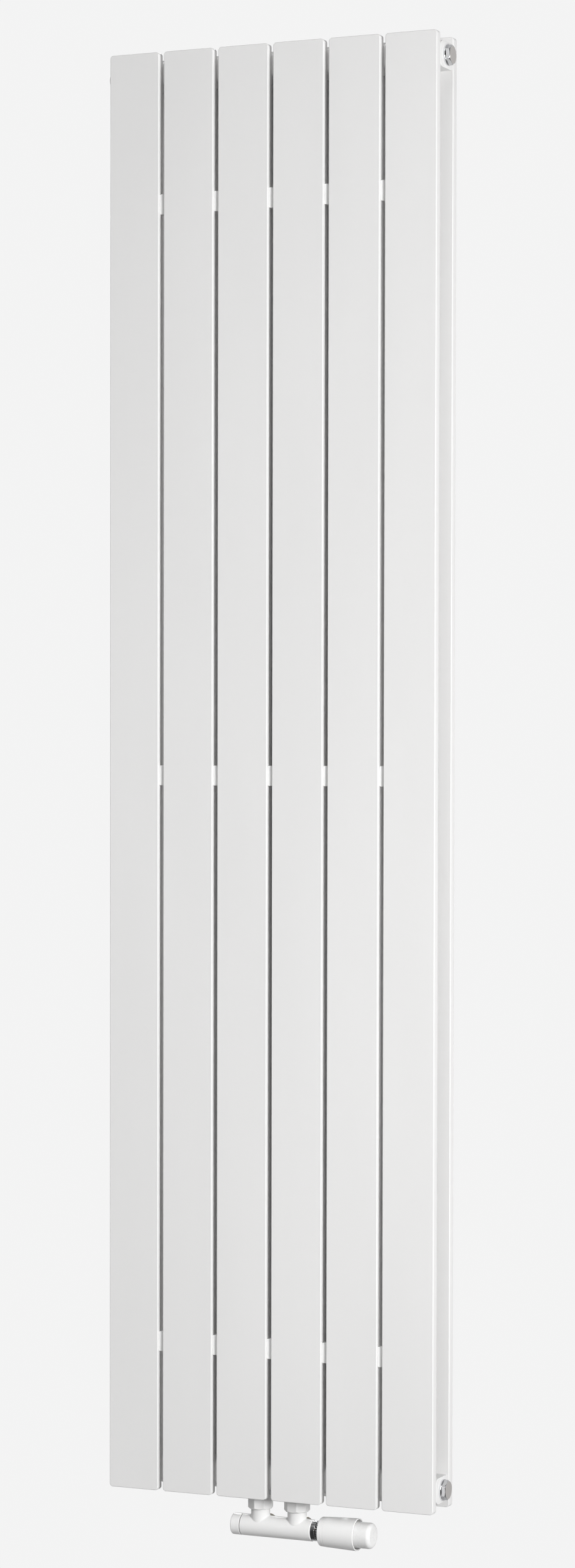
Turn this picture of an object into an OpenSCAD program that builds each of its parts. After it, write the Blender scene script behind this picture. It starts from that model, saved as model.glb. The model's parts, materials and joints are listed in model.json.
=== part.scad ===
// Vertical flat-tube radiator in two layers, with a 50 mm valve block and a
// thermostatic head under the middle of its lower edge.
// X runs along the width, -Y is the front, Z is up. The origin lies on the wall,
// in the middle of the four wall screws.

/* [Flat tubes] */
// Height of the flat tubes
panel_h = 1800; // [1000:10:2200]
// Width of one flat tube
panel_w = 67.5; // [58:0.5:90]
// Depth of one flat tube
panel_t = 12; // [10:0.5:18]
// Gap between two neighbouring tubes
panel_gap = 7; // [5:0.5:14]
// Wall of the steel tubes
panel_wall = 1.5; // [1:0.1:2]
// Corner radius of a tube, seen from the front
corner_r = 4; // [2:0.5:6]
// Rounding of the long edges and of the end edges
edge_r = 3; // [1.5:0.25:4]

/* [Collectors] */
// Depth of a collector, which keeps the two layers of tubes apart
collector_t = 42; // [38:1:60]
// Height of a collector
collector_h = 32; // [30:1:44]
// Distance from the end of the tubes to a collector
collector_inset = 10; // [6:1:20]
// Wall of a collector
collector_wall = 2.5; // [2:0.25:3.5]
// Corner radius of a collector
collector_r = 8; // [5:0.5:10]
// Hole between a tube and a collector
port_d = 13; // [8:1:13]

/* [Plugs] */
// Thread diameter of the end plugs
plug_d = 20.9; // [18:0.1:21]
// Flange diameter of the end plugs
plug_flange_d = 26; // [25:0.5:29]
// Size across the flats of the end plugs
plug_flats = 22; // [18:0.5:23]
// Flange thickness of the end plugs
plug_flange_t = 2.5; // [2:0.25:4]
// Height of the hexagon of the end plugs
plug_hex_h = 5.5; // [4:0.5:8]
// Thread length of the end plugs
plug_thread_l = 10; // [8:0.5:12]
// Diameter of the vent's turning outlet ring
vent_ring_d = 19; // [16:0.5:20]

/* [Spacers] */
// Height of the spacer clips between the tubes
spacer_h = 25; // [15:1:40]
// How far the spacer clips stand back from the front face
spacer_recess = 3.5; // [3:0.5:5]
// Distance from the middle row of spacers to the outer rows
spacer_rise = 711.5; // [300:0.5:800]

/* [Wall brackets] */
// Clear distance from the wall to the rear tubes
wall_gap = 34; // [30:1:60]
// Height between the upper and the lower wall screws
bracket_rise = 1500; // [600:10:1700]
// Diameter of the screw holes in the brackets
screw_hole_d = 8.5; // [5:0.5:10]
// Thickness of the bracket steel
bracket_t = 3; // [2.5:0.5:4]

/* [Valve block] */
// Distance between the two connections
valve_pitch = 50; // [48:0.5:56]
// How far the valve's axis lies below the tubes
valve_drop = 39.5; // [38:0.5:50]
// Outer diameter of the valve body
body_d = 27; // [25:0.5:30]
// Outer diameter of the two upright branches
branch_d = 24; // [22:0.5:26]
// End of the valve body on the head's side, from the middle
body_right = 47.5; // [44:0.5:52]
// End of the valve body on the lockshield side, from the middle
body_left = 48.3; // [46:0.1:52]
// Size across the flats of the eight-sided union nuts
nut_flats = 30; // [30:0.5:32]
// Height of the union nuts
nut_h = 18.5; // [17:0.5:24]
// How far the union nuts reach below the tubes
nut_drop = 17; // [16:0.5:20]
// Turn of the flow union nut, on the head's side
flow_nut_turn = -3; // [-22:1:22]
// Turn of the return union nut
return_nut_turn = 17; // [-22:1:22]
// Diameter of the pipe connections that face the wall
outlet_d = 20.9; // [20:0.1:24]
// Length of the thread of the pipe connections
outlet_thread_l = 12; // [10:0.5:16]
// Length of the lockshield cap
cap_l = 12; // [11:0.5:16]

/* [Thermostatic head] */
// Diameter of the chrome collar beside the valve body
collar_d = 25.5; // [24:0.25:27]
// Width of the chrome collar
collar_l = 6; // [4:0.5:8]
// Start of the head's sleeve, from the middle of the valve
sleeve_start = 58.8; // [57:0.1:62]
// Length of the head's sleeve
sleeve_l = 49.2; // [46:0.1:56]
// Sleeve diameter at its narrow end
sleeve_d1 = 36.4; // [36:0.1:38]
// Sleeve diameter at its open rim
sleeve_d2 = 40.4; // [40:0.1:44]
// Wall of the sleeve at its open rim
sleeve_rim = 1.5; // [1.2:0.1:2]
// Diameter of the cap inside the sleeve
dome_d = 32.4; // [30:0.1:34]
// How far the cap stands out of the sleeve
dome_out = 20.5; // [12:0.5:26]
// Corner radius of the cap
dome_r = 5; // [2:0.5:8]

/* [Clearances] */
// Radial clearance of a running fit
run_fit = 0.05; // [0.02:0.01:0.1]
// Clearance between pieces that only pass each other
free_gap = 0.4; // [0.3:0.1:0.6]

/* [Hidden] */
$fn = 64;
panel_count = 6;
cols = [1 : panel_count];
gaps = [1 : panel_count - 1];
panel_nodes = [for (layer = ["front", "rear"]) for (i = cols) str(layer, "_panel_", i)];

// Finish colours
white_coat = [0.93, 0.93, 0.92];
chrome = [0.78, 0.79, 0.80];
brass = [0.80, 0.66, 0.36];
rubber = [0.12, 0.12, 0.12];
zinc = [0.62, 0.64, 0.66];
white_plastic = [0.95, 0.95, 0.94];
spring_steel = [0.50, 0.51, 0.53];

// Planes of the two layers, from the wall forwards
pitch = panel_w + panel_gap;
total_w = panel_count * panel_w + (panel_count - 1) * panel_gap;
half_w = total_w / 2;
half_h = panel_h / 2;
rear_back = -wall_gap;
rear_front = rear_back - panel_t;
front_back = rear_front - collector_t;
front_face = front_back - panel_t;
mid_y = (rear_front + front_back) / 2;
collector_z = half_h - collector_inset - collector_h / 2;

// Threaded bushes in the collector ends
bush_wall = 2.6;
bush_d = plug_d + 2 * bush_wall;
bush_l = plug_thread_l + 3;
end_plate_t = 3;
baffle_t = 2;
seal_cord = 1.6;
seal_d = plug_d + 2 * seal_cord;
seal_depth = 1.2;
plug_edge = 0.5;
hex_edge = 1;
plug_end = plug_flange_t + plug_hex_h;

// Spacer clips
spacer_plate_t = 1.5;
spacer_plate_w = panel_gap + 12;

// Wall brackets and the lugs that hang on them
bracket_x = 1.5 * pitch;
bracket_w = 24;
lug_w = bracket_w + 14;
lug_h = 40;
lug_t = 3;
lug_pocket_w = lug_w - 2 * lug_t - 4;
tongue_t = 4;
liner_t = 1.2;
pocket_t = tongue_t + 2 * liner_t;
foot_h = 62;
arm_t = 5;
tongue_h = 22;
tongue_y = rear_back + liner_t;
screw_drop = 36;

// Union under each connection, downwards from the collector
axis_z = -half_h - valve_drop;
nut_bottom = -half_h - nut_drop;
nut_top = nut_bottom + nut_h;
nut_lip = 4;
nut_edge = 2.4;
nut_face_in = 0.8;
nut_corner_out = 1.6;
nipple_d = nut_flats - 3.6;
nipple_edge = 0.8;
tail_d = branch_d - 4;
tail_bore = 14;
tail_flange_d = nipple_d - 1.2;
tail_flange_t = 3;
gasket_t = 1.5;
tail_flange_z = nut_bottom + nut_lip + free_gap;
gasket_z = tail_flange_z + tail_flange_t;
nipple_bottom = gasket_z + gasket_t;
nipple_top = -collector_z - collector_h / 2;
branch_top = nut_bottom - free_gap;
tail_bottom = branch_top - 7;

// Bores of the valve block, measured from its middle and its axis
branch_x = valve_pitch / 2;
insert_bore_d = 19;
insert_start = 30;
seat_x = 22;
seat_t = 4;
seat_d = 9;
chamber_d = 15;
chamber_start = 6;
cross_x = 12;
gallery_d = 5.5;
gallery_y = 13.4;
gallery_wall = 2.2;
gallery_end = branch_x - outlet_d / 2 - 1.5;
outlet_boss_d = branch_d;
outlet_boss_y = 17;
outlet_bore_d = 12;
outlet_stop = 11;

// Lockshield side
stub_d = 20;
stub_l = 8;
spindle_bore_d = 15;
cap_gap = 1.2;
cap_edge = 1.2;
cap_start = -(body_left + cap_gap);
cap_end = cap_start - cap_l;
spindle_d = spindle_bore_d - 2 * run_fit;
spindle_end = -(body_left + stub_l - 3);
spindle_l = -(seat_x + 0.4) - spindle_end;
cone_l = 4;
cone_start = spindle_end + spindle_l - cone_l;
socket_flats = 6;
socket_l = 6;
spindle_groove_x = -body_left + 4;
groove_w = 2;
groove_depth = 1.5;

// Thermostatic insert, collar and head nut
pin_d = 4;
insert_d = insert_bore_d - 2 * run_fit;
collar_end = body_right + collar_l;
collar_edge = 0.6;
insert_neck_d = collar_d - 5.5;
insert_groove_x = body_right - 6;
gland_d = 8;
gland_l = 4;
spring_room = 4.5;
insert_thread_d = 18;
insert_end = sleeve_start + 3.2;
nut2_start = collar_end + free_gap;
nut2_d = 24;
nut2_bore = insert_thread_d + 2 * free_gap;
nut2_end = insert_end + 6;
nut2_lip = 2;
nut2_edge = 0.8;
flutes = 24;
flute_r = 0.8;
disc_d = 12;
disc_t = 3;
disc_gap = 0.3;
spring_d = 9;
spring_wire = 0.9;
spring_start = insert_start + 2;
spring_l = 7;
spring_turns = 5;
spring_bore = spring_d + 1.4;
pin_collar_t = 1.5;

// Head chassis and what it holds
base_flange_d = nut2_d - 3.2;
base_flange_t = 3;
base_start = insert_end + free_gap;
base_neck_d = 15.5;
base_wall = 2;
base_disc_x = nut2_end + 1.5;
base_disc_t = 2.5;
base_d = 27;
pusher_d = 8;
pusher_start = insert_end + 0.1;
pusher_bore = pusher_d + 2 * run_fit;
sensor_start = base_disc_x + base_disc_t + 3;
sensor_d = base_d - 2 * base_wall - 1;
sensor_l = 22;
overtravel_d = 16;
overtravel_wire = 1.2;
overtravel_turns = 4;
overtravel_l = 8;

// Sleeve and cap, which turn together on the chassis
sleeve_end = sleeve_start + sleeve_l;
sleeve_bore = dome_d;
sleeve_hole = nut2_d + 2 * free_gap;
sleeve_plate = 2.4;
hub_wall = 1.8;
step_1 = 4.5;
step_2 = 7.5;
step_rise = 0.5;
rim_depth = 9;
rim_edge = 0.4;
shoulder_edge = 0.8;
web_t = 2;
cap_wall = 1.6;
cap_start_x = sleeve_end - rim_depth - web_t;
cap_face = sleeve_end + dome_out;

// Clip on the chassis barrel, which keeps the cap and its sleeve from coming off
cap_lip_t = 1.5;
clip_start = cap_start_x + cap_lip_t + free_gap;
clip_t = 0.8;
clip_depth = 0.6;
clip_d = dome_d - 2 * cap_wall - 2 * free_gap;
base_end = clip_start + clip_t + 1.2;
bearing_d = sleeve_bore - 2 * run_fit;
bearing_t = base_disc_t;
bearing_2_x = cap_start_x - 6;
clip_slot = 3;

// Vent
vent_spigot_d = 12;
vent_screw_d = 8;
vent_ring_l = 4.2;
vent_lip = 1.3;
vent_spigot_l = vent_ring_l + 0.9;
vent_bore = 5;
vent_gap = 0.3;
vent_waist_d = vent_ring_d - 4.4;
vent_drain_d = 2;
vent_drain_x = 2.4;
vent_seat = -4;
vent_socket = 5;

// ---------- outlines and shared shapes ----------

// Rectangle about the origin with four true round corners
module rounded_rect(w, h, r) {
    square([w - 2 * r, h], center = true);
    square([w, h - 2 * r], center = true);
    for (x = [-1, 1], y = [-1, 1])
        translate([x * (w / 2 - r), y * (h / 2 - r)]) circle(r);
}

// Lays a profile drawn around +Z along +X
module along_x() { rotate([0, 90, 0]) children(); }

// Ring along +X from x0 to x1
module ring_x(x0, x1, outer, inner = 0)
    translate([x0, 0, 0]) along_x() difference() {
        cylinder(h = x1 - x0, d = outer);
        if (inner > 0) translate([0, 0, -1]) cylinder(h = x1 - x0 + 2, d = inner);
    }

// Solid of revolution about +X, from points [x, radius]
module turned_x(points)
    along_x() rotate_extrude() polygon([for (p = points) [p[1], p[0]]]);

// Puts a shape drawn about the valve's own middle and axis in its place
module at_valve() { translate([0, mid_y, axis_z]) children(); }

// Compression spring along +X, swept as a closed tube with squared-off ends
module coil_x(x0, length, mean_d, wire, turns) {
    steps = 18 * turns;
    sides = 8;
    function centre(k) = [x0 + wire / 2 + (length - wire) * k / steps,
        mean_d / 2 * cos(360 * turns * k / steps), mean_d / 2 * sin(360 * turns * k / steps)];
    function ring_point(k, j) = let (turn = 360 * turns * k / steps, side = 360 * j / sides)
        centre(k) + wire / 2 * [sin(side), cos(side) * cos(turn), cos(side) * sin(turn)];
    points = [for (k = [0 : steps]) for (j = [0 : sides - 1]) ring_point(k, j)];
    skin = [for (k = [0 : steps - 1]) for (j = [0 : sides - 1])
        [k * sides + j, k * sides + (j + 1) % sides,
            (k + 1) * sides + (j + 1) % sides, (k + 1) * sides + j]];
    ends = [[for (j = [sides - 1 : -1 : 0]) j], [for (j = [0 : sides - 1]) steps * sides + j]];
    polyhedron(points, concat(skin, ends), convexity = 10);
}

// ---------- radiator ----------

// Closed flat tube with all its edges rounded, centred on X and Z, from y = 0 back
module flat_tube_solid() {
    intersection() {
        translate([0, panel_t / 2, -half_h]) linear_extrude(panel_h)
            rounded_rect(panel_w, panel_t, edge_r);
        translate([0, panel_t, 0]) rotate([90, 0, 0]) linear_extrude(panel_t)
            rounded_rect(panel_w, panel_h, corner_r);
        translate([-panel_w / 2, panel_t / 2, 0]) rotate([90, 0, 90]) linear_extrude(panel_w)
            rounded_rect(panel_t, panel_h, edge_r);
    }
}

// One flat tube; port_side 1 has its ports at the back, -1 at the front
module flat_tube(port_side) {
    inner_r = max(edge_r - panel_wall, 0.3);
    difference() {
        flat_tube_solid();
        translate([0, panel_t / 2, -half_h + panel_wall]) linear_extrude(panel_h - 2 * panel_wall)
            rounded_rect(panel_w - 2 * panel_wall, panel_t - 2 * panel_wall, inner_r);
        for (z = [-collector_z, collector_z])
            translate([0, panel_t / 2, z]) rotate([-90 * port_side, 0, 0])
                cylinder(h = panel_t, d = port_d);
    }
}

function panel_x(i) = (i - (panel_count + 1) / 2) * pitch;

module front_panel(i)
    color(white_coat) translate([panel_x(i), front_face, 0]) flat_tube(1);

module rear_panel(i)
    color(white_coat) translate([panel_x(i), rear_front, 0]) flat_tube(-1);

// Rectangular tube with rounded edges, closed ends and a port for every flat tube
module collector() {
    difference() {
        translate([-half_w, 0, 0]) rotate([90, 0, 90]) linear_extrude(total_w)
            rounded_rect(collector_t, collector_h, collector_r);
        translate([-half_w + end_plate_t, 0, 0]) rotate([90, 0, 90])
            linear_extrude(total_w - 2 * end_plate_t)
                rounded_rect(collector_t - 2 * collector_wall, collector_h - 2 * collector_wall,
                    max(collector_r - collector_wall, 0.5));
        for (i = cols) translate([panel_x(i), collector_t, 0]) rotate([90, 0, 0])
            cylinder(h = 2 * collector_t, d = port_d);
        for (side = [-1, 1]) translate([side * half_w - 5, 0, 0]) along_x()
            cylinder(h = 10, d = bush_d);
    }
}

module top_collector()
    color(white_coat) translate([0, mid_y, collector_z]) collector();

module bottom_collector()
    color(white_coat) difference() {
        translate([0, mid_y, -collector_z]) collector();
        for (side = [-1, 1]) translate([side * branch_x, mid_y, nipple_top - 1])
            cylinder(h = collector_wall + 3, d = tail_bore);
    }

// Runs a child at the four collector ends, drawn with +X pointing outwards
module at_collector_ends(tops = [-1, 1], sides = [-1, 1])
    for (top = tops, side = sides)
        translate([0, mid_y, top * collector_z]) mirror([side < 0 ? 1 : 0, 0, 0])
            translate([half_w, 0, 0]) children();

module collector_bushes()
    color(white_coat) at_collector_ends() difference() {
        ring_x(-bush_l, 0, bush_d, plug_d);
        ring_x(-seal_depth, 1, seal_d + 0.2, plug_d - 1);
    }

// Welded stubs with the male threads that the union nuts hold
module connection_nipples()
    color(zinc) for (side = [-1, 1]) translate([side * branch_x, mid_y, 0])
        rotate_extrude() polygon([
            [tail_bore / 2, nipple_bottom], [nipple_d / 2 - nipple_edge, nipple_bottom],
            [nipple_d / 2, nipple_bottom + nipple_edge], [nipple_d / 2, nipple_top],
            [tail_bore / 2, nipple_top]]);

// Plate inside the lower collector that parts flow and return
module flow_baffle()
    color(zinc) translate([-baffle_t / 2, mid_y, -collector_z]) rotate([90, 0, 90])
        linear_extrude(baffle_t)
        rounded_rect(collector_t - 2 * collector_wall, collector_h - 2 * collector_wall,
            max(collector_r - collector_wall, 0.5));

// Clip whose tongue fills a gap and whose plate bridges the backs of two tubes
module spacer_clip()
    union() {
        translate([-panel_gap / 2, 0, -spacer_h / 2]) cube([panel_gap, spacer_plate_y(), spacer_h]);
        translate([-spacer_plate_w / 2, spacer_plate_y(), -spacer_h / 2])
            cube([spacer_plate_w, spacer_plate_t, spacer_h]);
    }
function spacer_plate_y() = panel_t - spacer_recess;

module spacer_rows()
    for (row = [-1 : 1], i = gaps)
        translate([panel_x(i) + pitch / 2, 0, row * spacer_rise]) children();

module front_spacers()
    color(white_plastic) translate([0, front_face + spacer_recess, 0]) spacer_rows() spacer_clip();

module rear_spacers()
    color(white_plastic) translate([0, rear_back - spacer_recess, 0])
        spacer_rows() rotate([0, 0, 180]) spacer_clip();

// Turned and milled plug: thread inwards, flange and hexagon outwards
module plug(bore = 0) {
    difference() {
        union() {
            ring_x(-plug_thread_l, 0, plug_d - 2 * run_fit);
            turned_x([[0, 0], [0, plug_flange_d / 2], [plug_flange_t - plug_edge, plug_flange_d / 2],
                [plug_flange_t, plug_flange_d / 2 - plug_edge], [plug_flange_t, 0]]);
            intersection() {
                translate([plug_flange_t, 0, 0]) along_x()
                    cylinder(h = plug_hex_h, d = plug_flats / cos(30), $fn = 6);
                turned_x([[0, 0], [0, plug_flats / 2 + 2 * hex_edge],
                    [plug_end - hex_edge, plug_flats / 2 + hex_edge],
                    [plug_end, plug_flats / 2 - 0.2 * hex_edge], [plug_end, 0]]);
            }
        }
        seal_groove();
        if (bore > 0) ring_x(-plug_thread_l - 1, plug_end + 1, bore);
    }
}

// Recess behind the flange that the seal lies in
module seal_groove() ring_x(-seal_depth, 0, plug_d, plug_d - 1);

module blind_plugs()
    color(chrome) {
        at_collector_ends(sides = [1]) plug();
        at_collector_ends(tops = [-1], sides = [-1]) plug();
    }

module plug_seals()
    color(rubber) at_collector_ends() ring_x(-seal_depth, 0, seal_d, plug_d);

// Vent plug at the upper left end, with a spigot for the outlet ring
module vent_plug()
    color(chrome) at_collector_ends(tops = [1], sides = [-1]) difference() {
        union() {
            plug();
            ring_x(vent_x(0), vent_x(vent_spigot_l), vent_spigot_d);
        }
        ring_x(-plug_thread_l - 1, vent_x(vent_spigot_l) + 1, vent_bore);
        ring_x(vent_x(vent_seat), vent_x(vent_spigot_l) + 1, vent_screw_d + 2 * run_fit);
    }
function vent_x(x) = plug_end + x;

// Outlet ring that turns on the spigot, with a drain hole through its side
module vent_outlet_ring()
    color(white_plastic) at_collector_ends(tops = [1], sides = [-1]) difference() {
        turned_x([
            [vent_x(vent_gap), vent_spigot_d / 2 + run_fit], [vent_x(vent_gap), vent_waist_d / 2],
            [vent_x(vent_ring_l - vent_lip), vent_waist_d / 2],
            [vent_x(vent_ring_l - vent_lip), vent_ring_d / 2],
            [vent_x(vent_ring_l), vent_ring_d / 2], [vent_x(vent_ring_l), vent_spigot_d / 2 + run_fit]]);
        translate([vent_x(vent_drain_x), 0, -vent_ring_d]) cylinder(h = vent_ring_d, d = vent_drain_d);
    }

module bleed_screw()
    color(brass) at_collector_ends(tops = [1], sides = [-1]) difference() {
        union() {
            ring_x(vent_x(vent_seat + 0.4), vent_x(vent_spigot_l), vent_screw_d);
            turned_x([[vent_x(vent_seat - 0.6), 0], [vent_x(vent_seat - 0.6), 1],
                [vent_x(vent_seat + 0.4), 2.4], [vent_x(vent_seat + 0.4), 0]]);
        }
        translate([vent_x(vent_spigot_l) - 3, -vent_socket / 2, -vent_socket / 2])
            cube([4, vent_socket, vent_socket]);
    }

// Runs a child at the four hanging points
module at_brackets()
    for (x = [-1, 1], z = [-1, 1])
        translate([x * bracket_x, 0, z * bracket_rise / 2 + screw_drop]) children();

// Steel strap bent into a pocket and welded to the back of a rear tube
module hanger_lugs()
    color(white_coat) at_brackets() difference() {
        translate([-lug_w / 2, rear_back, arm_t / 2])
            cube([lug_w, pocket_t + lug_t, lug_h]);
        translate([-lug_pocket_w / 2, rear_back - 1, arm_t / 2 - 1])
            cube([lug_pocket_w, pocket_t + 1, lug_h + 2]);
    }

// Foot on the wall, arm forwards and tongue upwards behind the lug's strap
module wall_brackets()
    color(zinc) at_brackets() difference() {
        union() {
            translate([-bracket_w / 2, -bracket_t, -foot_h + arm_t / 2])
                cube([bracket_w, bracket_t, foot_h]);
            translate([-bracket_w / 2, tongue_y, -arm_t / 2])
                cube([bracket_w, -tongue_y, arm_t]);
            translate([-bracket_w / 2, tongue_y, -arm_t / 2])
                cube([bracket_w, tongue_t, tongue_h]);
        }
        translate([0, 1, -screw_drop]) rotate([90, 0, 0]) cylinder(h = bracket_t + 2, d = screw_hole_d);
    }

// Plastic shoe over each tongue, which stops rattle
module bracket_liners()
    color(rubber) at_brackets() difference() {
        translate([-bracket_w / 2, rear_back, arm_t / 2])
            cube([bracket_w, pocket_t, tongue_h - arm_t + liner_t]);
        translate([-bracket_w / 2 - 1, tongue_y, arm_t / 2 - 1])
            cube([bracket_w + 2, tongue_t, tongue_h - arm_t + 1]);
    }

// ---------- valve block ----------

// Water path on one side: seat, chamber, gallery behind the body and pipe bore
module water_path(bore_d, bore_end)
    union() {
        ring_x(seat_x, bore_end, bore_d);
        ring_x(seat_x - seat_t - 1, seat_x + 1, seat_d);
        ring_x(chamber_start, seat_x - seat_t, chamber_d);
        translate([branch_x, 0, bore_d / 2 - 3]) cylinder(h = valve_drop, d = tail_bore - 2);
        translate([branch_x, outlet_stop, 0]) rotate([-90, 0, 0])
            cylinder(h = outlet_boss_y + outlet_thread_l, d = outlet_bore_d);
        translate([0, gallery_y, 0]) ring_x(cross_x, branch_x, gallery_d);
        translate([cross_x, 0, 0]) rotate([-90, 0, 0]) cylinder(h = gallery_y, d = gallery_d);
    }

module half_body()
    union() {
        ring_x(0, body_right, body_d);
        translate([branch_x, 0, 0]) cylinder(h = branch_top - axis_z, d = branch_d);
        translate([branch_x, 0, 0]) rotate([-90, 0, 0]) cylinder(h = outlet_boss_y, d = outlet_boss_d);
        translate([branch_x, outlet_boss_y, 0]) rotate([-90, 0, 0])
            cylinder(h = outlet_thread_l, d = outlet_d);
        translate([0, gallery_y, 0]) ring_x(chamber_start, gallery_end, gallery_d + 2 * gallery_wall);
    }

module valve_body()
    color(white_coat) at_valve() difference() {
        union() {
            half_body();
            mirror([1, 0, 0]) half_body();
            ring_x(-body_left, 0, body_d);
            ring_x(-body_left - stub_l, -body_left, stub_d);
        }
        water_path(insert_bore_d, body_right + 1);
        mirror([1, 0, 0]) water_path(spindle_bore_d, body_left + stub_l + 1);
        for (side = [-1, 1]) translate([side * branch_x, 0, tail_bottom - axis_z])
            cylinder(h = valve_drop, d = tail_d + 2 * run_fit);
    }

// Pipe tail that carries a union nut and is pressed into a branch
module union_tails()
    color(chrome) for (side = [-1, 1]) translate([side * branch_x, mid_y, 0])
        rotate_extrude() polygon([
            [tail_bore / 2, tail_bottom], [tail_d / 2, tail_bottom],
            [tail_d / 2, tail_flange_z], [tail_flange_d / 2, tail_flange_z],
            [tail_flange_d / 2, gasket_z], [tail_bore / 2, gasket_z]]);

module union_gaskets()
    color(rubber) for (side = [-1, 1]) translate([side * branch_x, mid_y, gasket_z]) difference() {
        cylinder(h = gasket_t, d = tail_flange_d);
        translate([0, 0, -1]) cylinder(h = gasket_t + 2, d = tail_bore);
    }

// Eight-sided nut with turned-off corners, an inner lip below and a thread bore
module union_nut(side, turn)
    color(white_coat) translate([side * branch_x, mid_y, 0]) difference() {
        intersection() {
            rotate([0, 0, turn + 22.5]) translate([0, 0, nut_bottom])
                cylinder(h = nut_h, d = nut_flats / cos(22.5), $fn = 8);
            rotate_extrude() polygon([[0, nut_bottom], [nut_flats / 2 - nut_face_in, nut_bottom],
                [nut_flats / 2 + nut_corner_out, nut_bottom + nut_edge],
                [nut_flats / 2 + nut_corner_out, nut_top - nut_edge],
                [nut_flats / 2 - nut_face_in, nut_top], [0, nut_top]]);
        }
        translate([0, 0, nut_bottom - 1]) cylinder(h = nut_h + 2, d = tail_d + 2 * free_gap);
        translate([0, 0, nut_bottom + nut_lip]) cylinder(h = nut_h, d = nipple_d + 2 * run_fit);
    }

module flow_union_nut() union_nut(1, flow_nut_turn);
module return_union_nut() union_nut(-1, return_nut_turn);

// Cap over the lockshield stub, with a lightly rounded closed end
module lockshield_cap()
    color(white_plastic) at_valve() difference() {
        turned_x(concat([[cap_end, 0]],
            [for (a = [0 : 15 : 90])
                [cap_end + cap_edge - cap_edge * cos(a), body_d / 2 + 0.2 - cap_edge + cap_edge * sin(a)]],
            [[cap_start - 0.5, body_d / 2 + 0.2], [cap_start, body_d / 2 - 0.3], [cap_start, 0]]));
        ring_x(-(body_left + stub_l + free_gap), cap_start + 1, stub_d + 2 * free_gap);
    }

// Regulating spindle with a cone at the seat and a hexagon socket outside
module lockshield_spindle()
    color(brass) at_valve() difference() {
        union() {
            ring_x(spindle_end, cone_start, spindle_d);
            turned_x([[cone_start, 0], [cone_start, seat_d / 2 + 1.5],
                [cone_start + cone_l, seat_d / 2 + 0.5], [cone_start + cone_l, 0]]);
        }
        ring_x(spindle_groove_x, spindle_groove_x + groove_w, spindle_bore_d + 1,
            spindle_d - 2 * groove_depth);
        translate([spindle_end - 1, 0, 0]) along_x()
            cylinder(h = socket_l + 1, d = socket_flats / cos(30), $fn = 6);
    }

module lockshield_seal()
    color(rubber) at_valve() ring_x(spindle_groove_x + 0.1, spindle_groove_x + groove_w - 0.1,
        spindle_d - 0.1, spindle_d - 2 * groove_depth);

// Brass cartridge: shank in the body, neck for the collar, thread for the head nut
module valve_insert()
    color(brass) at_valve() difference() {
        union() {
            ring_x(insert_start, body_right, insert_d);
            ring_x(body_right, collar_end, insert_neck_d);
            ring_x(collar_end, insert_end, insert_thread_d);
        }
        ring_x(insert_start - 1, insert_end + 1, pin_d + 2 * run_fit);
        ring_x(spring_start, spring_start + spring_l + pin_collar_t + spring_room, spring_bore);
        ring_x(insert_groove_x, insert_groove_x + groove_w, insert_bore_d + 1,
            insert_d - 2 * groove_depth);
        ring_x(insert_end - gland_l, insert_end + 1, gland_d);
    }

module insert_seal()
    color(rubber) at_valve() ring_x(insert_groove_x + 0.1, insert_groove_x + groove_w - 0.1,
        insert_d - 0.1, insert_d - 2 * groove_depth);

// Polished ring that covers the shoulder between the body and the head
module insert_collar()
    color(chrome) at_valve() turned_x([
        [body_right, insert_neck_d / 2], [body_right, collar_d / 2 - collar_edge / 2],
        [body_right + collar_edge / 2, collar_d / 2], [collar_end - collar_edge, collar_d / 2],
        [collar_end, collar_d / 2 - collar_edge], [collar_end, insert_neck_d / 2]]);

// Pin with the disc holder at one end and a collar for the spring
module valve_pin()
    color(brass) at_valve() union() {
        ring_x(seat_x + disc_gap + 1, pusher_start - 0.3, pin_d);
        ring_x(seat_x + disc_gap + disc_t, seat_x + disc_gap + disc_t + 1, disc_d - 2);
        ring_x(spring_start + spring_l, spring_start + spring_l + pin_collar_t, spring_d);
    }

module valve_disc()
    color(rubber) at_valve() difference() {
        ring_x(seat_x + disc_gap, seat_x + disc_gap + disc_t, disc_d);
        ring_x(seat_x + disc_gap + 1, seat_x + disc_gap + disc_t + 1, pin_d);
    }

module pin_spring()
    color(spring_steel) at_valve()
        coil_x(spring_start, spring_l, spring_d - spring_wire - 0.2, spring_wire, spring_turns);

// Gland around the pin at the outer end of the insert
module pin_seal()
    color(rubber) at_valve() ring_x(insert_end - gland_l, insert_end - 1.5, gland_d, pin_d + 2 * run_fit);

// ---------- thermostatic head ----------

// Circle with shallow grip flutes round its edge
module fluted_circle()
    difference() {
        circle(d = nut2_d + 1);
        for (k = [1 : flutes]) rotate(k * 360 / flutes) translate([nut2_d / 2 + flute_r / 3, 0])
            circle(r = flute_r, $fn = 24);
    }

// Fluted nut that draws the head's chassis against the insert
module head_nut()
    color(chrome) at_valve() difference() {
        intersection() {
            turned_x([[nut2_start, 0], [nut2_start, nut2_d / 2 - nut2_edge],
                [nut2_start + nut2_edge, nut2_d / 2], [nut2_end - nut2_edge, nut2_d / 2],
                [nut2_end, nut2_d / 2 - nut2_edge], [nut2_end, 0]]);
            translate([nut2_start - 1, 0, 0]) along_x() linear_extrude(nut2_end - nut2_start + 2)
                fluted_circle();
        }
        ring_x(nut2_start - 1, nut2_end + 1, base_neck_d + 2 * free_gap);
        ring_x(nut2_start - 1, insert_end, nut2_bore);
        ring_x(insert_end, nut2_end - nut2_lip, base_flange_d + 2 * free_gap);
    }

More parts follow.
